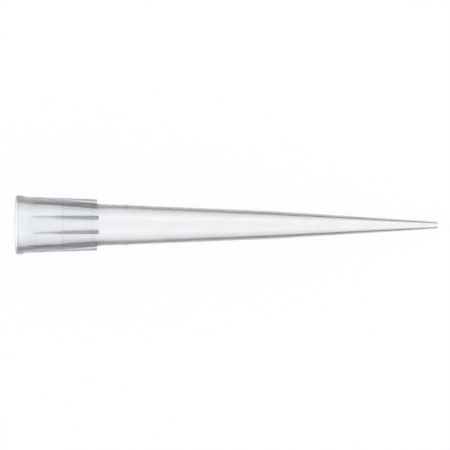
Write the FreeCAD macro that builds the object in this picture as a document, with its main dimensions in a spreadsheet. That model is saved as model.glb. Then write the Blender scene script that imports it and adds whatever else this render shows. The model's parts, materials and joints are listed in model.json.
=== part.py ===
"""Pipette tip, 200 microlitre class: one injection-moulded polypropylene piece.

The tip is drawn about its own axis, which is the local X axis: the mouth that pushes on to the
pipette is at X = 0 and the orifice is at X = tip_length. One profile is revolved for the lip, the
collar, the graduation ring, the two tapers and the bore. Ten wedge-shaped fins stand on the collar.

The finished piece is then laid on the table the way it comes to rest: on the rear edge of its lip
and on the rim of the orifice, with the gap between two fins straight down. The frame is +Z up, +X
from the mouth to the orifice, with the origin on the table under the middle of the piece.
All sizes are in millimetres.
"""
import FreeCAD, Part
import Sketcher
import os

DOCUMENT_NAME = "PipetteTip"
SHEET_NAME = "Sizes"
NODE_NAME = "pipette_tip"
SAME_EDGE = 0.001  # how near an edge has to be to the place where it is looked for

# (alias, value, what it is)
DRIVING_SIZES = [
    ("tip_length", "51.0", "mouth to orifice, along the axis"),
    # the bore, from the mouth to the orifice
    ("socket_radius", "2.54", "cylindrical sealing land that grips the pipette"),
    ("mouth_flare", "0.34", "how much wider than the land the bore is at the mouth"),
    ("lead_in_length", "2.40", "mouth to the start of the sealing land"),
    ("socket_depth", "5.46", "mouth to the end of the sealing land"),
    ("socket_step", "0.12", "step down at the end of the sealing land"),
    ("chamber_narrowing", "0.07", "how much the bore closes from the land to the throat"),
    ("throat_lead", "0.82", "start of the throat to the end of the collar"),
    ("throat_length", "1.50", "length of the cone that narrows the bore"),
    ("throat_narrowing", "0.29", "how much the bore closes along the throat"),
    ("ring_narrowing", "0.04", "how much it closes from there to the graduation ring"),
    ("knee_bore_radius", "1.29", "bore where the taper gets steeper"),
    ("orifice_radius", "0.24", "bore at the orifice"),
    # walls
    ("shoulder_wall", "0.46", "wall where the body leaves the collar"),
    ("ring_wall_above", "0.395", "wall on the collar side of the graduation ring"),
    ("ring_wall_below", "0.352", "wall on the orifice side of the graduation ring"),
    ("knee_wall", "0.40", "wall where the taper gets steeper"),
    ("orifice_wall", "0.19", "wall at the orifice"),
    # lip
    ("lip_wall", "0.66", "wall of the lip at the mouth"),
    ("lip_width", "0.79", "width of the lip along the axis"),
    ("lip_step", "0.12", "how far the lip stands out of the collar"),
    ("lip_round", "0.05", "radius of the lip's two outer edges"),
    ("mouth_round", "0.03", "radius of the mouth's inner edge"),
    # collar and its fins
    ("collar_length", "9.72", "mouth to the end of the collar"),
    ("collar_step", "0.06", "how far the end of the collar stands out of the body"),
    ("fin_count", "10", "fins around the collar"),
    ("fin_start", "0.90", "mouth to the start of the fins"),
    ("fin_sink", "0.03", "how far the crest lies under the collar where a fin starts"),
    ("fin_height", "0.47", "height of a fin at the end of the collar"),
    ("fin_start_width", "0.18", "thickness of a fin where it starts"),
    ("fin_end_width", "0.34", "thickness of a fin at the end of the collar"),
    ("fin_bevel", "0.05", "bevel along the two edges of a crest"),
    # graduation ring and knee
    ("ring_distance", "3.23", "end of the collar to the graduation ring"),
    ("ring_width", "0.10", "width of the ring's crest"),
    ("ring_flank", "0.30", "length of each flank of the ring"),
    ("ring_height", "0.047", "height of the ring"),
    ("ring_round", "0.25", "radius that softens the ring's crest and feet"),
    ("knee_distance", "20.40", "knee to the orifice"),
]


def lip_tilt_rule(along, radius):
    """Formula for the tilt when the lip's rear rounding and a rear point both touch the table."""
    drop = f"(lip_radius - lip_round - {radius})"
    reach = f"({along} - lip_width + lip_round)"
    return f"=atan({drop} / {reach}) + asin(lip_round / sqrt({drop} ^ 2 + {reach} ^ 2))"


def fin_tilt_rule(along, radius):
    """Formula for the tilt when the ends of two fins and a rear point both touch the table."""
    return f"=atan((fin_depth - {radius}) / ({along} - collar_length))"


# (alias, formula, what it is); a formula may use the aliases above it
DERIVED_SIZES = [
    ("mouth_radius", "=socket_radius + mouth_flare", "bore at the mouth"),
    ("lip_radius", "=mouth_radius + lip_wall", "outside of the lip"),
    ("collar_start_radius", "=lip_radius - lip_step", "collar behind the lip"),
    ("chamber_radius", "=socket_radius - socket_step", "bore past the sealing land"),
    ("throat_start", "=collar_length - throat_lead", "mouth to the throat"),
    ("throat_start_radius", "=chamber_radius - chamber_narrowing", "bore at the throat"),
    ("throat_end", "=throat_start + throat_length", "mouth to the end of the throat"),
    ("throat_radius", "=throat_start_radius - throat_narrowing", "bore past the throat"),
    ("ring_bore_radius", "=throat_radius - ring_narrowing", "bore under the ring"),
    ("shoulder_radius", "=throat_radius + shoulder_wall", "body at the collar"),
    ("collar_end_radius", "=shoulder_radius + collar_step", "collar at its end"),
    ("ring_start", "=collar_length + ring_distance", "mouth to the ring"),
    ("ring_crest_start", "=ring_start + ring_flank", "mouth to the ring's crest"),
    ("ring_crest_end", "=ring_crest_start + ring_width", "far side of the crest"),
    ("ring_end", "=ring_crest_end + ring_flank", "mouth to the far side of the ring"),
    ("ring_above_radius", "=ring_bore_radius + ring_wall_above", "body before the ring"),
    ("ring_below_radius", "=ring_bore_radius + ring_wall_below", "body after the ring"),
    ("ring_radius", "=ring_above_radius + ring_height", "crest of the ring"),
    ("knee_position", "=tip_length - knee_distance", "mouth to the knee"),
    ("knee_radius", "=knee_bore_radius + knee_wall", "outside of the knee"),
    ("orifice_rim_radius", "=orifice_radius + orifice_wall", "outside of the orifice"),
    # the fins' two end sections
    ("collar_slope", "=(collar_start_radius - collar_end_radius) / (collar_length - lip_width)",
     "fall of the collar's surface for each millimetre"),
    ("fin_start_collar", "=collar_start_radius - collar_slope * (fin_start - lip_width)",
     "collar where a fin starts"),
    ("fin_start_crest", "=fin_start_collar - fin_sink", "crest where a fin starts"),
    ("fin_start_bore", "=mouth_radius - (mouth_radius - socket_radius) * fin_start / lead_in_length",
     "bore where a fin starts"),
    ("fin_start_root", "=(fin_start_collar + fin_start_bore) / 2", "root, inside the wall"),
    ("fin_end_crest", "=collar_end_radius + fin_height", "crest at the end of the collar"),
    ("fin_end_root", "=shoulder_radius - shoulder_wall / 3", "root, inside the wall"),
    ("fin_turn", "=180 / fin_count", "degrees from straight up to the first fin"),
    # how it lies: the front end is down on the lip or on two fins, the rear on the knee or the rim
    ("fin_depth", "=fin_end_crest * cos(fin_turn * 1 deg)"
     " + (fin_end_width / 2 - fin_bevel) * sin(fin_turn * 1 deg)",
     "axis to the lowest corners of the two lowest fins"),
    ("lip_rim_tilt", lip_tilt_rule("tip_length", "orifice_rim_radius"), "tilt on lip and rim"),
    ("lip_knee_tilt", lip_tilt_rule("knee_position", "knee_radius"), "tilt on lip and knee"),
    ("fin_rim_tilt", fin_tilt_rule("tip_length", "orifice_rim_radius"), "tilt on fins and rim"),
    ("fin_knee_tilt", fin_tilt_rule("knee_position", "knee_radius"), "tilt on fins and knee"),
    ("rim_tilt", "=max(lip_rim_tilt; fin_rim_tilt)", "tilt if the rim is down"),
    ("knee_tilt", "=max(lip_knee_tilt; fin_knee_tilt)", "tilt if the knee is down"),
    ("lie_tilt", "=min(rim_tilt; knee_tilt)", "tilt of the axis as it lies"),
    ("lie_height", "=max(tip_length * sin(lie_tilt) + orifice_rim_radius * cos(lie_tilt);"
     " knee_position * sin(lie_tilt) + knee_radius * cos(lie_tilt))",
     "height of the mouth's centre over the table"),
    ("mouth_overhang", "=(lip_radius - lip_round) * sin(lie_tilt) + lip_round - lip_round * cos(lie_tilt)",
     "how far the lip's lowest edge reaches behind the mouth's centre"),
    ("orifice_reach", "=tip_length * cos(lie_tilt) + orifice_rim_radius * sin(lie_tilt)",
     "how far the orifice's rim reaches ahead of the mouth's centre"),
    ("lie_shift", "=(mouth_overhang - orifice_reach) / 2", "mouth's centre along X"),
]

# The revolved outline, as (point, distance from the mouth, radius), once round the wall section.
OUTLINE = [
    ("mouth_outer", None, "lip_radius"),
    ("lip_rear", "lip_width", "lip_radius"),
    ("collar_start", "lip_width", "collar_start_radius"),
    ("collar_end", "collar_length", "collar_end_radius"),
    ("shoulder", "collar_length", "shoulder_radius"),
    ("ring_foot_near", "ring_start", "ring_above_radius"),
    ("ring_crest_near", "ring_crest_start", "ring_radius"),
    ("ring_crest_far", "ring_crest_end", "ring_radius"),
    ("ring_foot_far", "ring_end", "ring_below_radius"),
    ("knee_outer", "knee_position", "knee_radius"),
    ("rim_outer", "tip_length", "orifice_rim_radius"),
    ("rim_inner", "tip_length", "orifice_radius"),
    ("knee_inner", "knee_position", "knee_bore_radius"),
    ("ring_inner", "ring_crest_start", "ring_bore_radius"),
    ("throat_end", "throat_end", "throat_radius"),
    ("throat_start", "throat_start", "throat_start_radius"),
    ("chamber_start", "socket_depth", "chamber_radius"),
    ("land_end", "socket_depth", "socket_radius"),
    ("land_start", "lead_in_length", "socket_radius"),
    ("mouth_inner", None, "mouth_radius"),
]

ORIGIN_POINT = (-1, 1)
VERTICAL_AXIS = -2


def cell(alias):
    """The expression that reads one named size from the sheet."""
    return f"{SHEET_NAME}.{alias}"


def make_sheet(doc):
    """Put every size in the sheet, one to a row: its name, its value and what it is."""
    sheet = doc.addObject("Spreadsheet::Sheet", SHEET_NAME)
    for row, (alias, content, meaning) in enumerate(DRIVING_SIZES + DERIVED_SIZES, start=1):
        sheet.set(f"A{row}", alias)
        sheet.set(f"B{row}", content)
        sheet.set(f"C{row}", meaning)
        sheet.setAlias(f"B{row}", alias)
    doc.recompute()
    return sheet


def origin_feature(body, role):
    """One of the body's own planes or axes."""
    for feature in body.Origin.OriginFeatures:
        if feature.Role == role:
            return feature
    raise RuntimeError(f"{body.Label} has no {role}")


def closed_polygon(sketch, corners):
    """Draw straight lines round the corners and join each to the next."""
    points = [FreeCAD.Vector(x, y, 0) for x, y in corners]
    for start, end in zip(points, points[1:] + points[:1]):
        sketch.addGeometry(Part.LineSegment(start, end), False)
    count = len(points)
    for line in range(count):
        sketch.addConstraint(Sketcher.Constraint("Coincident", line, 2, (line + 1) % count, 1))


def drive(sketch, kind, line, name, expression):
    """Hold the first end of a line at a driven distance from the sketch's origin."""
    point = sketch.getPoint(line, 1)
    start = point.x if kind == "DistanceX" else point.y
    constraint = Sketcher.Constraint(kind, *ORIGIN_POINT, line, 1, start)
    index = sketch.addConstraint(constraint)
    sketch.renameConstraint(index, name)
    sketch.setExpression(f"Constraints.{name}", expression)


def make_outline(body, sheet):
    """The wall section, in the plane of the axis: distance from the mouth against radius."""
    sketch = body.newObject("Sketcher::SketchObject", "WallSection")
    sketch.AttachmentSupport = [(origin_feature(body, "XZ_Plane"), "")]
    sketch.MapMode = "FlatFace"
    corners = [
        (sheet.get(along) if along else 0.0, sheet.get(radius)) for _, along, radius in OUTLINE
    ]
    closed_polygon(sketch, corners)
    for line, (point, along, radius) in enumerate(OUTLINE):
        if along:
            drive(sketch, "DistanceX", line, f"{point}_along", cell(along))
        else:
            sketch.addConstraint(Sketcher.Constraint("PointOnObject", line, 1, VERTICAL_AXIS))
        drive(sketch, "DistanceY", line, f"{point}_radius", cell(radius))
    return sketch


def revolve(body, sketch):
    """Turn the wall section once round the tip's axis."""
    turned = body.newObject("PartDesign::Revolution", "TurnedWall")
    turned.Profile = sketch
    turned.ReferenceAxis = (sketch, ["H_Axis"])
    turned.Angle = 360
    return turned


def circle_edge(shape, along, radius):
    """The name of the circular edge at a distance from the mouth, with a given radius."""
    for number, edge in enumerate(shape.Edges, start=1):
        curve = edge.Curve
        if not isinstance(curve, Part.Circle):
            continue
        if abs(curve.Radius - radius) < SAME_EDGE and abs(curve.Center.x - along) < SAME_EDGE:
            return f"Edge{number}"
    raise RuntimeError(f"no round edge at {along} mm with radius {radius} mm")


def round_edges(body, doc, base, name, places, size):
    """Fillet the circular edges at the given (distance, radius) places."""
    doc.recompute()
    edges = [circle_edge(base.Shape, along, radius) for along, radius in places]
    fillet = body.newObject("PartDesign::Fillet", name)
    fillet.Base = (base, edges)
    fillet.setExpression("Radius", cell(size))
    return fillet


def make_fin_section(body, sheet, end):
    """Section across one fin: straight sides up from inside the wall, and a bevelled flat crest."""
    sketch = body.newObject("Sketcher::SketchObject", f"Fin{end.capitalize()}")
    sketch.AttachmentSupport = [(origin_feature(body, "YZ_Plane"), "")]
    sketch.MapMode = "FlatFace"
    station = "fin_start" if end == "start" else "collar_length"
    half = sheet.get(f"fin_{end}_width") / 2
    crest = sheet.get(f"fin_{end}_crest")
    root = sheet.get(f"fin_{end}_root")
    bevel = sheet.get("fin_bevel")
    width = cell(f"fin_{end}_width")
    section = [
        ("root_right", half, root, f"{width} / 2", cell(f"fin_{end}_root")),
        ("side_right", half, crest - bevel, f"{width} / 2",
         f"{cell(f'fin_{end}_crest')} - {cell('fin_bevel')}"),
        ("crest_right", half - bevel, crest, f"{width} / 2 - {cell('fin_bevel')}",
         cell(f"fin_{end}_crest")),
        ("crest_left", bevel - half, crest, f"{width} / 2 - {cell('fin_bevel')}",
         cell(f"fin_{end}_crest")),
        ("side_left", -half, crest - bevel, f"{width} / 2",
         f"{cell(f'fin_{end}_crest')} - {cell('fin_bevel')}"),
        ("root_left", -half, root, f"{width} / 2", cell(f"fin_{end}_root")),
    ]
    closed_polygon(sketch, [(across, up) for _, across, up, _, _ in section])
    for line, (point, across, _, across_rule, up_rule) in enumerate(section):
        side = "" if across > 0 else "-"
        drive(sketch, "DistanceX", line, f"{point}_across", f"{side}({across_rule})")
        drive(sketch, "DistanceY", line, f"{point}_up", up_rule)
    sketch.AttachmentOffset = FreeCAD.Placement(
        FreeCAD.Vector(0, 0, sheet.get(station)),
        FreeCAD.Rotation(FreeCAD.Vector(0, 0, 1), sheet.get("fin_turn")),
    )
    sketch.setExpression("AttachmentOffset.Base.z", cell(station))
    sketch.setExpression("AttachmentOffset.Rotation.Angle", f"{cell('fin_turn')} * 1 deg")
    return sketch


def make_fins(body, sheet):
    """One wedge-shaped fin lofted along the collar, repeated round the axis."""
    start = make_fin_section(body, sheet, "start")
    end = make_fin_section(body, sheet, "end")
    fin = body.newObject("PartDesign::AdditiveLoft", "Fin")
    fin.Profile = start
    fin.Sections = [end]
    fin.Ruled = True
    fins = body.newObject("PartDesign::PolarPattern", "Fins")
    fins.Originals = [fin]
    fins.Axis = (origin_feature(body, "X_Axis"), [""])
    fins.Angle = 360
    fins.setExpression("Occurrences", cell("fin_count"))
    return fins


def lay_down(body, sheet):
    """Tilt the tip and set it on the table, with the origin under the middle of its length."""
    body.Placement = FreeCAD.Placement(
        FreeCAD.Vector(0, 0, 0),
        FreeCAD.Rotation(FreeCAD.Vector(0, 1, 0), 1.0),
    )
    body.setExpression("Placement.Rotation.Angle", cell("lie_tilt"))
    body.setExpression("Placement.Base.x", cell("lie_shift"))
    body.setExpression("Placement.Base.z", cell("lie_height"))


def make_tip(doc, sheet):
    """The whole moulding, as one body."""
    body = doc.addObject("PartDesign::Body", "Tip")
    body.Label = NODE_NAME
    wall = revolve(body, make_outline(body, sheet))
    lip_places = [
        (0.0, sheet.get("lip_radius")),
        (sheet.get("lip_width"), sheet.get("lip_radius")),
    ]
    lip = round_edges(body, doc, wall, "LipRounding", lip_places, "lip_round")
    mouth_place = [(0.0, sheet.get("mouth_radius"))]
    mouth = round_edges(body, doc, lip, "MouthRounding", mouth_place, "mouth_round")
    ring_places = [
        (sheet.get(along), sheet.get(radius))
        for point, along, radius in OUTLINE
        if point.startswith(("ring_foot", "ring_crest"))
    ]
    round_edges(body, doc, mouth, "RingRounding", ring_places, "ring_round")
    doc.recompute()
    body.Tip = make_fins(body, sheet)
    lay_down(body, sheet)
    doc.recompute()
    return body


def check(doc, bodies):
    """Stop if any object failed to build, or a piece is not one valid solid."""
    for item in doc.Objects:
        if any(word in item.State for word in ("Invalid", "Error")):
            raise RuntimeError(f"{item.Name} failed: {item.State}")
    for body in bodies:
        shape = body.Shape
        if shape.isNull() or not shape.isValid():
            raise RuntimeError(f"{body.Label} has no valid shape")
        if len(shape.Solids) != 1:
            raise RuntimeError(f"{body.Label} has {len(shape.Solids)} solids, not one")


def main():
    doc = FreeCAD.newDocument(DOCUMENT_NAME)
    sheet = make_sheet(doc)
    bodies = [make_tip(doc, sheet)]
    check(doc, bodies)
    os.makedirs("parts", exist_ok=True)
    for body in bodies:
        body.Shape.exportStep(f"parts/{body.Label}.step")


main()
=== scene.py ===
"""Pipette tip: one injection-moulded piece of natural polypropylene, lying on a table.

The file is laid out as a Blender add-on. The sizes and the finish are properties, the tip and
the stage are operators, and main() calls both in turn. The tip's surface is one closed grid:
stations along a closed wall profile by columns around the bore.
"""

import json
import math

import bpy
import numpy as np
from bpy.props import FloatProperty, FloatVectorProperty, IntProperty, PointerProperty
from mathutils import Matrix, Vector


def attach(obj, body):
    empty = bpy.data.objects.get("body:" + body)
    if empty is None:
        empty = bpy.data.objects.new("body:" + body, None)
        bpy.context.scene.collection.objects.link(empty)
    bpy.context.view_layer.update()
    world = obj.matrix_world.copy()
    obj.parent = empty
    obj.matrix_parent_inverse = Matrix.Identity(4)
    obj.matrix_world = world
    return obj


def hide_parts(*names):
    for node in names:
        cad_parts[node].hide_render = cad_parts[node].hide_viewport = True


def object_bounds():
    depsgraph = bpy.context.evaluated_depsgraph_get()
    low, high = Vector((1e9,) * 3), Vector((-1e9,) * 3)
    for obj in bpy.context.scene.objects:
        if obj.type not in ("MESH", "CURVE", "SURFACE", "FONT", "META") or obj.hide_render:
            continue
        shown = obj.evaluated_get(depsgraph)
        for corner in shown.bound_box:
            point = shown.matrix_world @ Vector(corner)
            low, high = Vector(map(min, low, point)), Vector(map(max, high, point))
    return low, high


bl_info = {
    "name": "Pipette Tip",
    "version": (1, 0, 0),
    "blender": (4, 5, 0),
    "location": "View3D > Sidebar > Pipette Tip",
    "description": "Builds a moulded pipette tip, its plastic and a plain studio around it",
    "category": "Object",
}

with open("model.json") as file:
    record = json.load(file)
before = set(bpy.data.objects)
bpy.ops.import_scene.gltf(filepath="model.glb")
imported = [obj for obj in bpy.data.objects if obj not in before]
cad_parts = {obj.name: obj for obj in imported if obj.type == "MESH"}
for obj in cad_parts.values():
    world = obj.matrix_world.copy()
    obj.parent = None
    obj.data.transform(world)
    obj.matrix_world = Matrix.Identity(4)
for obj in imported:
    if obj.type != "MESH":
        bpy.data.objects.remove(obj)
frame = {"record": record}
CAD_BOX = [list(corner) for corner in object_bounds()]
MM = 0.001
HAIR = 1e-9
NODE = "pipette_tip"
BODY = "root"
# Light across the tip that the dark cards leave, as (degrees from straight down, level).
# Positive angles turn towards the far side.
CARD_LIGHT = (
    (-180, 1.0), (-105, 1.0), (-90, 0.05), (-45, 0.05), (-31, 0.20), (-16, 0.85),
    (16, 0.85), (31, 0.36), (45, 0.14), (90, 0.14), (105, 1.0), (180, 1.0),
)
# Soft lamps: name, place, width and depth in metres, share of the lamp power.
LAMPS = (
    ("lamp_far_side", (0.0, 0.45, 0.45), 0.5, 0.25, 1.0),
    ("lamp_near_side", (0.0, -0.40, 0.55), 0.4, 0.2, 0.4),
)
# Noise in the plastic: grains per metre along, across and up the tip, detail and roughness.
FLOW = ((60.0, 1400.0, 1400.0), 3.0, 0.5)
CLOUD = ((350.0, 500.0, 500.0), 2.0, 0.5)
GRAIN = ((4000.0, 5000.0, 5000.0), 2.0, 0.6)
# The band of each noise that counts, and the roughness that it adds at the band's two ends.
NOISE_BAND = (0.3, 0.7)
TINT_BAND = (0.35, 0.65)
CLOUD_GLOSS = (-0.02, 0.03)
FLOW_GLOSS = (-0.01, 0.02)
ARC_POINTS = 5
SECTION_POINTS = 4
LONGEST_REACH = 0.45
# A low or thin fin's roundings shrink with it: root and crest edge as shares of its height, and
# crest edge as a share of its half thickness.
ROOT_SHARE, EDGE_SHARE, EDGE_OF_HALF = 0.25, 0.7, 0.9
SENSOR_WIDTH = 36.0
WHITE = (1.0, 1.0, 1.0, 1.0)


def length(name, note, millimetres):
    """A length property whose default is given in millimetres."""
    return FloatProperty(
        name=name, description=note, default=millimetres * MM, precision=5, unit="LENGTH"
    )


def share(name, note, default):
    """A plain number between 0 and 1."""
    return FloatProperty(
        name=name, description=note, default=default, min=0.0, max=1.0, subtype="FACTOR"
    )


class TipOutside(bpy.types.PropertyGroup):
    """Outside sizes. Places along the tip are measured from the mouth."""

    tip_length: length("Tip length", "Mouth to orifice along the bore", 51.0)
    lip_radius: length("Lip radius", "Outside of the plain band at the mouth", 3.54)
    lip_length: length("Lip length", "Length of the plain band", 0.79)
    lip_edge: length("Lip edge", "Rounding of the lip's two outer edges", 0.05)
    collar_root: length("Collar root", "Rounding where the collar meets the lip", 0.05)
    collar_start: length("Collar start radius", "Collar radius behind the lip", 3.42)
    collar_end: length("Collar end radius", "Collar radius at its square end", 2.58)
    collar_length: length("Collar length", "Mouth to the collar's square end", 9.72)
    collar_edge: length("Collar edge", "Rounding of the square end's edge", 0.03)
    shoulder_radius: length("Shoulder radius", "Body radius at the collar's end", 2.52)
    shoulder_root: length("Shoulder root", "Rounding between the square end and the body", 0.02)
    ring_place: length("Ring place", "Mouth to the front of the filling ring", 12.95)
    ring_foot: length("Ring foot radius", "Body radius just before the ring", 2.415)
    ring_crest: length("Ring crest radius", "Radius over the ring", 2.462)
    ring_flank: length("Ring flank", "Length of each of the ring's slopes", 0.30)
    ring_flat: length("Ring flat", "Length of the ring's crest", 0.10)
    ring_edge: length("Ring edge", "Rounding of the ring's corners", 0.25)
    body_start: length("Body radius", "Body radius just behind the ring", 2.372)
    knee_place: length("Knee place", "Mouth to the change of taper", 30.60)
    knee_radius: length("Knee radius", "Outside radius at the change of taper", 1.69)
    knee_bend: length("Knee bend", "Rounding of the change of taper", 60.0)
    rim_radius: length("Rim radius", "Outside radius at the orifice", 0.43)
    rim_edge: length("Rim edge", "Rounding of the rim's outer edge", 0.05)


class TipBore(bpy.types.PropertyGroup):
    """Bore sizes. Places along the bore are measured from the mouth."""

    mouth_radius: length("Mouth radius", "Lead-in radius at the mouth", 2.88)
    mouth_edge: length("Mouth edge", "Rounding of the mouth's inner edge", 0.03)
    lead_length: length("Lead-in length", "Length of the lead-in taper", 2.40)
    lead_bend: length("Lead-in bend", "Rounding between the lead-in and the land", 1.0)
    socket_radius: length("Socket radius", "The land that grips the nozzle", 2.54)
    socket_depth: length("Socket depth", "Mouth to the step behind the land", 5.46)
    step_edge: length("Step edge", "Rounding of the step's two corners", 0.02)
    chamber_start: length("Chamber start radius", "Bore radius behind the step", 2.42)
    chamber_end: length("Chamber end radius", "Bore radius where the throat begins", 2.35)
    chamber_place: length("Chamber end place", "Mouth to where the throat begins", 8.90)
    throat_radius: length("Throat radius", "Bore radius behind the throat", 2.06)
    throat_place: length("Throat place", "Mouth to the end of the throat", 10.40)
    throat_bend: length("Throat bend", "Rounding of the throat's two ends", 0.4)
    ring_bore: length("Ring bore radius", "Bore radius under the filling ring", 2.02)
    ring_bore_place: length("Ring bore place", "Mouth to the bore under the ring", 13.23)
    ring_bore_bend: length("Ring bore bend", "Rounding of the bore under the ring", 2.0)
    knee_bore: length("Knee bore radius", "Bore radius at the change of taper", 1.29)
    orifice_radius: length("Orifice radius", "Bore radius at the orifice", 0.24)
    orifice_edge: length("Orifice edge", "Rounding of the orifice's edge", 0.03)


class TipFins(bpy.types.PropertyGroup):
    """Lengthwise fins on the collar."""

    count: IntProperty(
        name="Fins", description="Number of fins around the collar", default=10, min=3, max=24
    )
    first_angle: FloatProperty(
        name="First fin",
        description="Angle of the first fin from straight up",
        default=math.radians(18.0),
        subtype="ANGLE",
    )
    start_place: length("Start place", "Mouth to the buried start of the crests", 0.90)
    start_crest: length("Start crest radius", "Crest radius at the start", 3.38)
    end_crest: length("End crest radius", "Crest radius at the square end", 3.05)
    fade: length("Fade", "Height over which a crest eases out of the collar", 0.05)
    start_width: length("Start width", "Fin thickness at the start", 0.18)
    end_width: length("End width", "Fin thickness at the square end", 0.34)
    least_half: length("Least half width", "Half thickness a fin never goes below", 0.02)
    crest_edge: length("Crest edge", "Rounding of the crest's two edges", 0.05)
    root_radius: length("Root radius", "Rounding where a fin meets the collar", 0.05)


class PlasticFinish(bpy.types.PropertyGroup):
    """Natural polypropylene as it leaves a polished mould."""

    tint: FloatVectorProperty(
        name="Tint",
        description="Colour of the unpigmented plastic",
        default=(0.995, 0.997, 1.0),
        min=0.0,
        max=1.0,
        subtype="COLOR",
    )
    bend: FloatProperty(
        name="Refractive index", description="How strongly the wall bends light", default=1.49
    )
    cloud_tone: share("Cloud tone", "Brightness of the tint's faint clouds", 0.985)
    outside_gloss: share("Outside roughness", "Roughness of the outside", 0.22)
    fin_gloss: share("Fin roughness", "Roughness of the spark-finished fins", 1.0)
    matte_from: share("Matte from", "Frost at which the roughness starts to grow", 0.10)
    matte_full: share("Matte full", "Frost at which the roughness is the fins' own", 0.80)
    # Painted shade: the frost tint is a grey laid on the fins that darkens them in place of the
    # shade cast by light their flanks bend away. Their matt roughness is the real frosted finish.
    frost_shade_tint: FloatVectorProperty(
        name="Frost tint",
        description="Colour of the spark-finished fins",
        default=(0.565, 0.575, 0.615),
        min=0.0,
        max=1.0,
        subtype="COLOR",
    )
    # These heights and shares set both the frost's roughness and how much painted shade (grey
    # frost tint) each point of a fin takes.
    tall_fin: length("Tall fin", "Fin height from which a fin counts as tall", 0.32)
    tall_frost_and_shade: length("Tall frost", "Height over which a tall fin's frost grows", 0.25)
    low_frost_and_shade: length("Low frost", "Height over which a low fin's frost grows", 0.03)
    low_share: share("Low share", "Frost on the crest of a low fin", 0.6)
    # Painted shade: an even thin share of the grey frost tint over the collar makes it darker than
    # the body. It stays below matte from, so it adds no roughness.
    collar_painted_shade: share("Collar frost", "Frost all over the collar", 0.085)
    bore_gloss: share("Bore roughness", "Roughness of the polished bore", 0.17)
    clearness: share("Clearness", "Share of the light that goes through", 0.97)
    depth_colour: FloatVectorProperty(
        name="Depth colour",
        description="Colour that the wall takes on where it is thick",
        default=(0.25, 0.40, 0.62),
        min=0.0,
        max=1.0,
        subtype="COLOR",
    )
    depth_density: FloatProperty(
        name="Depth density", description="Light lost in the wall, per metre", default=90.0
    )
    flow_lines: length("Flow line depth", "Depth of the flow lines along the tip", 0.0005)
    grain: length("Grain depth", "Depth of the fine surface grain", 0.0004)


class Studio(bpy.types.PropertyGroup):
    """The table, the light and the camera."""

    camera_distance: length("Camera distance", "From the tip's middle", 1000.0)
    camera_lean: FloatProperty(
        name="Camera lean",
        description="Angle from straight down, towards the mouth",
        default=math.radians(1.6),
        subtype="ANGLE",
    )
    camera_roll: FloatProperty(
        name="Camera roll",
        description="Turn of the frame about the view",
        default=math.radians(0.06),
        subtype="ANGLE",
    )
    aim_place: length("Aim place", "Mouth to the middle of the view along the bore", 25.23)
    lens: FloatProperty(
        name="Lens", description="Focal length on a 36 mm sensor", default=663.0, unit="CAMERA"
    )
    lamp_power: FloatProperty(
        name="Lamp power", description="Power of the main soft lamp", default=0.5, unit="POWER"
    )
    table: FloatVectorProperty(
        name="Table colour",
        description="Colour of the plain table",
        default=(0.90, 0.90, 0.905),
        min=0.0,
        max=1.0,
        subtype="COLOR",
    )
    table_white: share("Table white", "Share of plain white in what shows of the table", 0.93)
    table_half: length("Table half side", "Middle of the table to its edge", 2000.0)


class TipSettings(bpy.types.PropertyGroup):
    """Everything a user may change."""

    outside: PointerProperty(type=TipOutside)
    bore: PointerProperty(type=TipBore)
    fins: PointerProperty(type=TipFins)
    finish: PointerProperty(type=PlasticFinish)
    studio: PointerProperty(type=Studio)


# ---------------------------------------------------------------- place of the tip


def tip_axes():
    """Mouth centre and the tip's own directions: along (mouth to orifice), side and up.

    The socket's mount gives a point and the direction of the bore, and the rim's mount gives the
    mouth plane, so mouth centre = socket point + (rim point - socket point, along the bore).
    """
    mounts = {m["name"]: m for m in frame["record"]["mounts"]}
    socket = np.array(mounts["pipette_socket"]["pos_m"])
    outward = np.array(mounts["pipette_socket"]["axis"])
    outward = outward / np.linalg.norm(outward)
    rim = np.array(mounts["mouth_rim"]["pos_m"])
    mouth = socket + np.dot(rim - socket, outward) * outward
    along = -outward
    side = np.array([0.0, 1.0, 0.0])
    up = np.cross(along, side)
    return mouth, along, side, up


# ---------------------------------------------------------------- the tip's surface


def rounded_profile(corners, step, arc_points):
    """Stations of a closed profile as an array of (place, radius).

    corners: rows of (place, radius, rounding), in order round the wall. Each corner becomes a
    circular arc, written as a rational quadratic curve from one tangent point to the other with
    the corner itself as its control point, weighted by the sine of half the corner's angle. An
    arc takes at most the longest reach, as a share of the shorter run beside it. The straight
    runs between the arcs are divided so that no piece is longer than step.
    """
    corners = np.array(corners, float)
    point, rounding = corners[:, :2], corners[:, 2]
    back, ahead = np.roll(point, 1, 0) - point, np.roll(point, -1, 0) - point
    back_run, ahead_run = np.linalg.norm(back, axis=1), np.linalg.norm(ahead, axis=1)
    back, ahead = back / back_run[:, None], ahead / ahead_run[:, None]
    half = 0.5 * np.arccos(np.clip((back * ahead).sum(1), -1.0, 1.0))
    reach = np.minimum(rounding / np.tan(half), LONGEST_REACH * np.minimum(back_run, ahead_run))
    enter, leave = point + back * reach[:, None], point + ahead * reach[:, None]
    t = np.linspace(0.0, 1.0, arc_points)[None, :]
    first, middle, last = (1 - t) ** 2, 2 * t * (1 - t) * np.sin(half)[:, None], t**2
    arcs = (
        first[..., None] * enter[:, None]
        + middle[..., None] * point[:, None]
        + last[..., None] * leave[:, None]
    ) / (first + middle + last)[..., None]
    stations = []
    for corner, arc in enumerate(arcs):
        start, end = arc[-1], arcs[(corner + 1) % len(arcs)][0]
        cuts = max(int(math.ceil(np.linalg.norm(end - start) / step)), 1)
        inner = np.linspace(0.0, 1.0, cuts + 1)[1:-1, None]
        stations += [arc, start + (end - start) * inner]
    return np.concatenate(stations)


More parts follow.
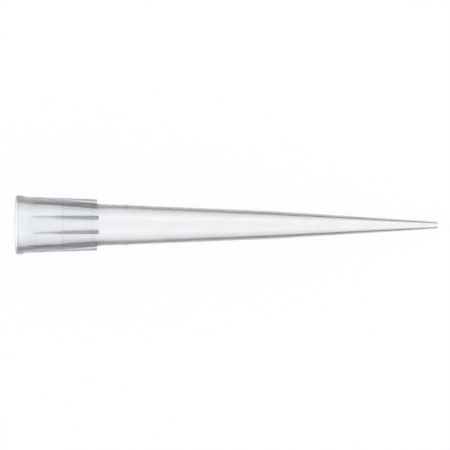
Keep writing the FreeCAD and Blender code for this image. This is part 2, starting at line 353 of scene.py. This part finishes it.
def wall_corners(o, b):
    """Corners of the wall's profile: the mouth face, the outside to the orifice, the bore back."""
    crest_start = o.ring_place + o.ring_flank
    crest_end = crest_start + o.ring_flat
    return [
        (0.0, b.mouth_radius, b.mouth_edge),
        (0.0, o.lip_radius, o.lip_edge),
        (o.lip_length, o.lip_radius, o.lip_edge),
        (o.lip_length, o.collar_start, o.collar_root),
        (o.collar_length, o.collar_end, o.collar_edge),
        (o.collar_length, o.shoulder_radius, o.shoulder_root),
        (o.ring_place, o.ring_foot, o.ring_edge),
        (crest_start, o.ring_crest, o.ring_edge),
        (crest_end, o.ring_crest, o.ring_edge),
        (crest_end + o.ring_flank, o.body_start, o.ring_edge),
        (o.knee_place, o.knee_radius, o.knee_bend),
        (o.tip_length, o.rim_radius, o.rim_edge),
        (o.tip_length, b.orifice_radius, b.orifice_edge),
        (o.knee_place, b.knee_bore, o.knee_bend),
        (b.ring_bore_place, b.ring_bore, b.ring_bore_bend),
        (b.throat_place, b.throat_radius, b.throat_bend),
        (b.chamber_place, b.chamber_end, b.throat_bend),
        (b.socket_depth, b.chamber_start, b.step_edge),
        (b.socket_depth, b.socket_radius, b.step_edge),
        (b.lead_length, b.socket_radius, b.lead_bend),
    ]


def turn_corner(enter, corner, leave, t):
    """A corner eased by the quadratic curve (1-t)^2 enter + 2t(1-t) corner + t^2 leave."""
    enter, corner, leave = enter[:, None], corner[:, None], leave[:, None]
    return (1 - t) ** 2 * enter + 2 * t * (1 - t) * corner + t**2 * leave


def fin_section(half, rise, root, edge):
    """One fin's cross-section at every station, as columns of sideways place and height.

    half is half the fin's thickness and rise its height. The section starts on the collar, root
    outside the flank, eases into the flank, goes straight up it, eases over the crest's corner
    and ends mid-crest. The other half is its mirror image.
    """
    t = np.linspace(0.0, 1.0, SECTION_POINTS)[None, :]
    side = np.hstack(
        [turn_corner(half + root, half, half, t), turn_corner(half, half, half - edge, t)]
    )
    level = 0.0 * rise
    height = np.hstack(
        [turn_corner(level, level, root, t), turn_corner(rise - edge, rise, rise, t)]
    )
    middle = np.zeros((len(rise), 1))
    sideways = np.hstack([-side, middle, side[:, ::-1]])
    return sideways, np.hstack([height, rise[:, None], height[:, ::-1]])


def smooth_rise(x):
    """0 below 0, 1 above 1, and 3x^2 - 2x^3 between."""
    x = np.clip(x, 0.0, 1.0)
    return x * x * (3.0 - 2.0 * x)


def fin_frost_and_shade(lift, rise, finish):
    """Share of frost and painted shade at each point of a fin's section.

    tall = smooth rise of the fin's height over the tall fin's; frost = tall * smooth rise of the
    point's height over the tall frost's + (1 - tall) * low share * smooth rise of the point's
    height over the low frost's.
    """
    tall = smooth_rise(rise / finish.tall_fin)[:, None]
    full = smooth_rise(lift / finish.tall_frost_and_shade)
    thin = finish.low_share * smooth_rise(lift / finish.low_frost_and_shade)
    return full * tall + thin * (1.0 - tall)


def tip_grid(settings, step=0.36 * MM, plain_columns=8):
    """Place and bore flag of every station; radius, angle and frost with painted shade of every
    grid point.

    Outside the fins, radius = profile radius. On a fin the point is its section's, set on the
    collar's circle: across = sideways place, out = collar circle + height, radius = hypot(across,
    out), angle = fin angle + atan2(across, out). Where a fin sinks into the collar its columns
    ease over to an even spread on the circle, by the smooth rise of its height over the fade.
    The frost and painted shade is the fins' own share on the fins, an even painted-shade share on
    the collar, and 0 elsewhere.
    """
    o, b, f, finish = settings.outside, settings.bore, settings.fins, settings.finish
    profile = rounded_profile(wall_corners(o, b), step, ARC_POINTS)
    place, circle = profile[:, 0], np.minimum(profile[:, 1], CAD_BOX[1][1])
    turn = int(np.argmax(place > o.tip_length - HAIR))
    index = np.arange(len(place))
    outside = index < turn
    collar_end = int(index[(place > o.collar_length - HAIR) & outside][0])
    past_end = abs(place - o.collar_length - o.shoulder_root)
    foot = int(np.argmin(np.where(outside, past_end, 1.0)))
    on_collar = (place >= f.start_place) & (index <= collar_end)
    on_face = (index > collar_end) & (index <= foot)
    bore = index > turn + ARC_POINTS

    # Fin sizes at each station; the square end's edge is rounded by drawing the section in.
    ratio = np.clip((place - f.start_place) / (o.collar_length - f.start_place), 0.0, 1.0)
    into = np.clip(place - (o.collar_length - o.collar_edge), 0.0, o.collar_edge)
    draw_in = o.collar_edge - np.sqrt(np.maximum(o.collar_edge**2 - into**2, 0.0))
    draw_in = np.where(on_collar, draw_in, 0.0)
    top = f.start_crest + (f.end_crest - f.start_crest) * ratio - draw_in
    rise = np.where(on_collar, np.maximum(top - circle, 0.0), 0.0)
    width = f.start_width + (f.end_width - f.start_width) * ratio
    half = np.maximum(0.5 * width - draw_in, f.least_half)
    root = np.minimum(f.root_radius, ROOT_SHARE * rise)
    edge = np.minimum(np.minimum(f.crest_edge, EDGE_OF_HALF * half), EDGE_SHARE * rise)

    across, lift = fin_section(half, rise, root, edge)
    sink = across**2 * (1.0 - lift / (rise[:, None] + HAIR))
    out = lift + np.sqrt(np.maximum(circle[:, None] ** 2 - sink, 0.0))
    fin_angle, fin_radius = np.arctan2(across, out), np.hypot(across, out)

    # Even spread of the same columns on the circle, as wide as the fin's foot.
    clamped = np.clip(place, o.lip_length, o.collar_length)
    cone = o.collar_start + (o.collar_end - o.collar_start) * (clamped - o.lip_length) / (
        o.collar_length - o.lip_length
    )
    spread = (0.5 * width + f.root_radius) / cone
    even = spread[:, None] * np.linspace(-1.0, 1.0, across.shape[1])
    ease = np.where(on_collar, smooth_rise(rise / f.fade), 0.0)[:, None]
    angle = even * (1.0 - ease) + fin_angle * ease
    radius = circle[:, None] * (1.0 - ease) + fin_radius * ease
    angle = np.where(on_face[:, None], angle[collar_end][None, :], angle)

    pitch = 2.0 * math.pi / f.count
    t = np.linspace(0.0, 1.0, plain_columns + 2)[None, 1:-1]
    gap_angle = angle[:, -1:] * (1.0 - t) + (pitch + angle[:, :1]) * t
    gap_radius = np.repeat(circle[:, None], plain_columns, 1)
    sector_angle = np.hstack([angle, gap_angle])
    sector_radius = np.hstack([radius, gap_radius])
    fins = f.first_angle + pitch * np.arange(f.count)
    angle = (fins[None, :, None] + sector_angle[:, None, :]).reshape(len(place), -1)
    radius = np.tile(sector_radius, (1, f.count))

    # The square ends keep the frost and painted shade down to the start of the rounding at their
    # foot.
    frost_and_shade = fin_frost_and_shade(lift, rise, finish)
    frost_and_shade_face = (index > collar_end) & (index <= foot - ARC_POINTS + 1)
    frost_and_shade = np.where(frost_and_shade_face[:, None], frost_and_shade[collar_end][None, :], frost_and_shade)
    bare = np.zeros((len(place), plain_columns))
    frost_and_shade = np.tile(np.hstack([frost_and_shade, bare]), (1, f.count))
    # Painted shade: the collar takes an even thin share of the grey frost tint.
    collar = (place > o.lip_length + o.collar_root) & (index <= collar_end)
    frost_and_shade = np.maximum(frost_and_shade, finish.collar_painted_shade * collar[:, None])
    return place, radius, angle, bore, frost_and_shade


def closed_quads(rows, columns):
    """Corner numbers of the quads of a grid that closes on itself both ways."""
    r, c = np.meshgrid(np.arange(rows), np.arange(columns), indexing="ij")
    r2, c2 = (r + 1) % rows, (c + 1) % columns
    corners = [r * columns + c, r2 * columns + c, r2 * columns + c2, r * columns + c2]
    return np.stack(corners, -1).reshape(-1, 4)


def grid_normals(points):
    """Normal at each grid point: the sum of the area vectors of the four quads around it."""
    right, down = np.roll(points, -1, 1), np.roll(points, -1, 0)
    cross = np.roll(right, -1, 0)
    area = np.cross(down - right, cross - points)
    total = area + np.roll(area, 1, 0) + np.roll(area, 1, 1) + np.roll(np.roll(area, 1, 0), 1, 1)
    return total / np.maximum(np.linalg.norm(total, axis=2, keepdims=True), 1e-30)


def moulded_mesh(settings):
    """The tip's mesh.

    Point = mouth + along * place + radius * (up * cos angle + side * sin angle).

    Three attributes follow the surface: mould, the point in the tip's own directions; bore, 1
    inside and 0 outside; and frost, which also carries the painted shade, from 0 where the plastic
    is clear to 1 on a tall fin's crest.
    """
    place, radius, angle, bore, frost_and_shade = tip_grid(settings)
    mouth, along, side, up = tip_axes()
    rows, columns = radius.shape
    x = np.repeat(place[:, None], columns, 1)
    y, z = radius * np.sin(angle), radius * np.cos(angle)
    points = mouth + x[..., None] * along + y[..., None] * side + z[..., None] * up
    quads = closed_quads(rows, columns)
    normals = grid_normals(points)

    mesh = bpy.data.meshes.new("pipette_tip_moulding")
    mesh.vertices.add(rows * columns)
    mesh.vertices.foreach_set("co", points.astype(np.float32).ravel())
    mesh.loops.add(quads.size)
    mesh.loops.foreach_set("vertex_index", quads.astype(np.int32).ravel())
    mesh.polygons.add(len(quads))
    mesh.polygons.foreach_set("loop_start", np.arange(0, quads.size, 4, dtype=np.int32))
    mesh.update(calc_edges=True)
    mesh.polygons.foreach_set("use_smooth", np.ones(len(quads), bool))
    own = np.stack([x, y, z], -1).astype(np.float32)
    mesh.attributes.new("mould", "FLOAT_VECTOR", "POINT").data.foreach_set("vector", own.ravel())
    inside = np.repeat(bore.astype(np.float32), columns)
    mesh.attributes.new("bore", "FLOAT", "POINT").data.foreach_set("value", inside)
    frost_and_shade_values = frost_and_shade.astype(np.float32).ravel()
    mesh.attributes.new("frost_and_shade", "FLOAT", "POINT").data.foreach_set("value", frost_and_shade_values)
    mesh.normals_split_custom_set_from_vertices(normals.reshape(-1, 3).astype(np.float32))
    mesh.validate()
    return mesh


# ---------------------------------------------------------------- the plastic


def feed(tree, socket, value):
    """Links an input to a node's output, or sets it to a number or a colour."""
    if isinstance(value, bpy.types.NodeSocket):
        tree.links.new(value, socket)
    else:
        socket.default_value = value


def attribute(tree, name):
    """Reads one attribute of the piece."""
    node = tree.nodes.new("ShaderNodeAttribute")
    node.attribute_name = name
    return node


def scaled_noise(tree, place, scale, detail, rough):
    """Noise whose grains are 1 / scale metres along, across and up the tip."""
    mapping = tree.nodes.new("ShaderNodeMapping")
    tree.links.new(place, mapping.inputs["Vector"])
    mapping.inputs["Scale"].default_value = scale
    noise = tree.nodes.new("ShaderNodeTexNoise")
    noise.inputs["Scale"].default_value = 1.0
    noise.inputs["Detail"].default_value = detail
    noise.inputs["Roughness"].default_value = rough
    tree.links.new(mapping.outputs["Vector"], noise.inputs["Vector"])
    return noise.outputs["Fac"]


def map_range(tree, value, low, high, to_low, to_high):
    """Carries a value from one range to another."""
    node = tree.nodes.new("ShaderNodeMapRange")
    names = ("Value", "From Min", "From Max", "To Min", "To Max")
    for name, number in zip(names, (value, low, high, to_low, to_high)):
        feed(tree, node.inputs[name], number)
    return node.outputs["Result"]


def math_node(tree, operation, first, second):
    """One step of arithmetic on two sockets or numbers."""
    node = tree.nodes.new("ShaderNodeMath")
    node.operation = operation
    feed(tree, node.inputs[0], first)
    feed(tree, node.inputs[1], second)
    return node.outputs["Value"]


def mix_colours(tree, factor, first, second):
    """The first colour where the factor is 0, the second where it is 1."""
    node = tree.nodes.new("ShaderNodeMix")
    node.data_type = "RGBA"
    feed(tree, node.inputs["Factor"], factor)
    feed(tree, node.inputs["A"], first)
    feed(tree, node.inputs["B"], second)
    return node.outputs["Result"]


def mix_shaders(tree, factor, first, second):
    """The first shader where the factor is 0, the second where it is 1."""
    node = tree.nodes.new("ShaderNodeMixShader")
    for slot, value in enumerate((factor, first, second)):
        tree.links.new(value, node.inputs[slot])
    return node.outputs["Shader"]


def natural_polypropylene(finish):
    """Clear plastic that turns bluish where it is thick, with frosted fins painted a darker grey
    as painted shade.

    Faint clouds, flow lines along the tip and a fine grain vary its tint, gloss and surface.
    """
    material = bpy.data.materials.new("natural_polypropylene")
    material.use_nodes = True
    tree = material.node_tree
    tree.nodes.clear()
    surface = tree.nodes.new("ShaderNodeBsdfPrincipled")
    output = tree.nodes.new("ShaderNodeOutputMaterial")
    tree.links.new(surface.outputs["BSDF"], output.inputs["Surface"])

    milk = tree.nodes.new("ShaderNodeVolumeAbsorption")
    milk.inputs["Color"].default_value = (*finish.depth_colour, 1.0)
    milk.inputs["Density"].default_value = finish.depth_density
    tree.links.new(milk.outputs["Volume"], output.inputs["Volume"])

    place = attribute(tree, "mould").outputs["Vector"]
    inside = attribute(tree, "bore").outputs["Fac"]
    frost_and_shade = attribute(tree, "frost_and_shade").outputs["Fac"]
    flow = scaled_noise(tree, place, *FLOW)
    cloud = scaled_noise(tree, place, *CLOUD)
    grain = scaled_noise(tree, place, *GRAIN)

    surface.inputs["IOR"].default_value = finish.bend
    surface.inputs["Transmission Weight"].default_value = finish.clearness

    clouded = (*(c * finish.cloud_tone for c in finish.tint), 1.0)
    clouds = map_range(tree, cloud, *TINT_BAND, 0.0, 1.0)
    tint = mix_colours(tree, clouds, (*finish.tint, 1.0), clouded)
    # Painted shade: the frost share mixes the grey frost tint into the colour, darkening the fins
    # and, thinly, the collar.
    colour = mix_colours(tree, frost_and_shade, tint, (*finish.frost_shade_tint, 1.0))
    tree.links.new(colour, surface.inputs["Base Color"])

    gloss = map_range(tree, inside, 0.0, 1.0, finish.outside_gloss, finish.bore_gloss)
    gloss = math_node(tree, "ADD", gloss, map_range(tree, cloud, *NOISE_BAND, *CLOUD_GLOSS))
    gloss = math_node(tree, "ADD", gloss, map_range(tree, flow, *NOISE_BAND, *FLOW_GLOSS))
    gloss = map_range(tree, frost_and_shade, finish.matte_from, finish.matte_full, gloss, finish.fin_gloss)
    tree.links.new(gloss, surface.inputs["Roughness"])

    normal = None
    for height, depth in ((flow, finish.flow_lines), (grain, finish.grain)):
        bump = tree.nodes.new("ShaderNodeBump")
        bump.inputs["Strength"].default_value = 1.0
        bump.inputs["Distance"].default_value = depth
        tree.links.new(height, bump.inputs["Height"])
        if normal:
            tree.links.new(normal, bump.inputs["Normal"])
        normal = bump.outputs["Normal"]
    tree.links.new(normal, surface.inputs["Normal"])
    return material


# ---------------------------------------------------------------- the stage


def white_table(studio):
    """A pale matt table that shows white to the camera and in reflections, and keeps the shadow.

    Light that has come through the plastic passes it, as if the table were a sheet of glass, and
    sees the studio room below, so the tip is lit from beneath.
    """
    material = bpy.data.materials.new("white_table")
    material.use_nodes = True
    tree = material.node_tree
    tree.nodes.clear()
    path = tree.nodes.new("ShaderNodeLightPath")
    matt = tree.nodes.new("ShaderNodeBsdfDiffuse")
    matt.inputs["Color"].default_value = (*studio.table, 1.0)
    white = tree.nodes.new("ShaderNodeEmission")
    white.inputs["Strength"].default_value = 1.0
    seen = math_node(
        tree, "MAXIMUM", path.outputs["Is Camera Ray"], path.outputs["Is Glossy Ray"]
    )
    clear = tree.nodes.new("ShaderNodeBsdfTransparent")
    whiteness = math_node(tree, "MULTIPLY", seen, studio.table_white)
    shown = mix_shaders(tree, whiteness, matt.outputs["BSDF"], white.outputs["Emission"])
    passing = path.outputs["Is Transmission Ray"]
    output = tree.nodes.new("ShaderNodeOutputMaterial")
    table = mix_shaders(tree, passing, shown, clear.outputs["BSDF"])
    tree.links.new(table, output.inputs["Surface"])
    return material


def studio_room():
    """A white room all round, with two long dark cards below that only the wall's mirroring sees.

    The cards' level depends on the angle across the tip, atan2(sideways, down), by CARD_LIGHT.
    It counts where the light has been mirrored inside the plastic and leaves it: factor =
    min(glossy depth, 1) * is transmission ray. The camera and all other light see plain white.
    """
    world = bpy.data.worlds.new("studio_room")
    world.use_nodes = True
    world.cycles.sampling_method = "NONE"
    tree = world.node_tree
    tree.nodes.clear()
    path = tree.nodes.new("ShaderNodeLightPath")
    direction = tree.nodes.new("ShaderNodeTexCoord")
    split = tree.nodes.new("ShaderNodeSeparateXYZ")
    tree.links.new(direction.outputs["Generated"], split.inputs["Vector"])
    downward = math_node(tree, "MULTIPLY", split.outputs["Z"], -1.0)
    across = math_node(tree, "ARCTAN2", split.outputs["Y"], downward)
    ramp = tree.nodes.new("ShaderNodeValToRGB")
    ramp.color_ramp.interpolation = "EASE"
    while len(ramp.color_ramp.elements) < len(CARD_LIGHT):
        ramp.color_ramp.elements.new(0.5)
    for element, (degrees, level) in zip(ramp.color_ramp.elements, CARD_LIGHT):
        element.position = degrees / 360.0 + 0.5
        element.color = (level, level, level, 1.0)
    tree.links.new(map_range(tree, across, -math.pi, math.pi, 0.0, 1.0), ramp.inputs["Fac"])
    mirrored = math_node(tree, "MINIMUM", path.outputs["Glossy Depth"], 1.0)
    counts = math_node(tree, "MULTIPLY", mirrored, path.outputs["Is Transmission Ray"])
    room = tree.nodes.new("ShaderNodeBackground")
    light = mix_colours(tree, counts, WHITE, ramp.outputs["Color"])
    tree.links.new(light, room.inputs["Color"])
    room.inputs["Strength"].default_value = 1.0
    output = tree.nodes.new("ShaderNodeOutputWorld")
    tree.links.new(room.outputs["Background"], output.inputs["Surface"])
    return world


def add_lamp(name, place, aim, width, depth, power):
    """A rectangular soft lamp that faces the tip."""
    data = bpy.data.lights.new(name, "AREA")
    data.shape = "RECTANGLE"
    data.size, data.size_y, data.energy = width, depth, power
    lamp = bpy.data.objects.new(name, data)
    lamp.location = place
    lamp.rotation_euler = (Vector(aim) - Vector(place)).to_track_quat("-Z", "Y").to_euler()
    bpy.context.scene.collection.objects.link(lamp)
    return lamp


def add_table(studio):
    """One square sheet at the height the tip stands on."""
    half, height = studio.table_half, CAD_BOX[0][2]
    signs = ((-1, -1), (1, -1), (1, 1), (-1, 1))
    mesh = bpy.data.meshes.new("table_top")
    mesh.from_pydata([(x * half, y * half, height) for x, y in signs], [], [(0, 1, 2, 3)])
    mesh.materials.append(white_table(studio))
    table = bpy.data.objects.new("table_top", mesh)
    bpy.context.scene.collection.objects.link(table)
    return table


def add_camera(studio):
    """The camera looks down on the tip, leaning a little towards the mouth."""
    mouth, along = tip_axes()[:2]
    aim = Vector(mouth + along * studio.aim_place)
    lean, roll = studio.camera_lean, studio.camera_roll
    back = Vector((-math.sin(lean), 0.0, math.cos(lean)))
    right = Vector((math.cos(lean), 0.0, math.sin(lean)))
    top = back.cross(right)
    turned = Matrix.Rotation(roll, 3, back)
    right, top = turned @ right, turned @ top
    data = bpy.data.cameras.new("studio_camera")
    data.lens, data.sensor_width = studio.lens, SENSOR_WIDTH
    data.clip_start, data.clip_end = 0.05, 20.0
    camera = bpy.data.objects.new("studio_camera", data)
    axes = Matrix((right, top, back)).transposed().to_4x4()
    camera.matrix_world = Matrix.Translation(aim + back * studio.camera_distance) @ axes
    bpy.context.scene.collection.objects.link(camera)
    bpy.context.scene.camera = camera
    return camera


# ---------------------------------------------------------------- operators and panel


class PIPETTE_OT_mould_tip(bpy.types.Operator):
    """Builds the moulded tip on its place in the frame"""

    bl_idname = "pipette.mould_tip"
    bl_label = "Mould the Tip"

    def execute(self, context):
        settings = context.scene.pipette
        mesh = moulded_mesh(settings)
        mesh.materials.append(natural_polypropylene(settings.finish))
        tip = bpy.data.objects.new("moulded_tip", mesh)
        context.scene.collection.objects.link(tip)
        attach(tip, BODY)
        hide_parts(NODE)
        return {"FINISHED"}


class PIPETTE_OT_set_stage(bpy.types.Operator):
    """Sets out the table, the lamps, the room light and the camera"""

    bl_idname = "pipette.set_stage"
    bl_label = "Set the Stage"

    def execute(self, context):
        studio = context.scene.pipette.studio
        context.scene.view_settings.view_transform = "Standard"
        context.scene.world = studio_room()
        add_table(studio)
        middle = [(a + b) / 2 for a, b in zip(*CAD_BOX)]
        for name, place, width, depth, part in LAMPS:
            add_lamp(name, place, middle, width, depth, studio.lamp_power * part)
        add_camera(studio)
        return {"FINISHED"}


class PIPETTE_PT_panel(bpy.types.Panel):
    """Lists the tip's sizes, its finish and its stage"""

    bl_idname = "PIPETTE_PT_panel"
    bl_label = "Pipette Tip"
    bl_space_type = "VIEW_3D"
    bl_region_type = "UI"
    bl_category = "Pipette Tip"

    def draw(self, context):
        settings = context.scene.pipette
        layout = self.layout
        for label, group in (
            ("Outside", settings.outside),
            ("Bore", settings.bore),
            ("Fins", settings.fins),
            ("Plastic", settings.finish),
        ):
            box = layout.box()
            box.label(text=label)
            for name in group.__annotations__:
                box.prop(group, name)
        layout.operator(PIPETTE_OT_mould_tip.bl_idname)
        box = layout.box()
        box.label(text="Studio")
        for name in settings.studio.__annotations__:
            box.prop(settings.studio, name)
        layout.operator(PIPETTE_OT_set_stage.bl_idname)


CLASSES = (
    TipOutside,
    TipBore,
    TipFins,
    PlasticFinish,
    Studio,
    TipSettings,
    PIPETTE_OT_mould_tip,
    PIPETTE_OT_set_stage,
    PIPETTE_PT_panel,
)


def register():
    """Makes the classes known and hangs the settings on the scene."""
    for cls in CLASSES:
        bpy.utils.register_class(cls)
    bpy.types.Scene.pipette = PointerProperty(type=TipSettings)


def unregister():
    """Takes back what register did."""
    del bpy.types.Scene.pipette
    for cls in reversed(CLASSES):
        bpy.utils.unregister_class(cls)


def main():
    """Registers the add-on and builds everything."""
    register()
    bpy.ops.pipette.mould_tip()
    bpy.ops.pipette.set_stage()
    bpy.context.view_layer.update()


if __name__ == "__main__":
    main()
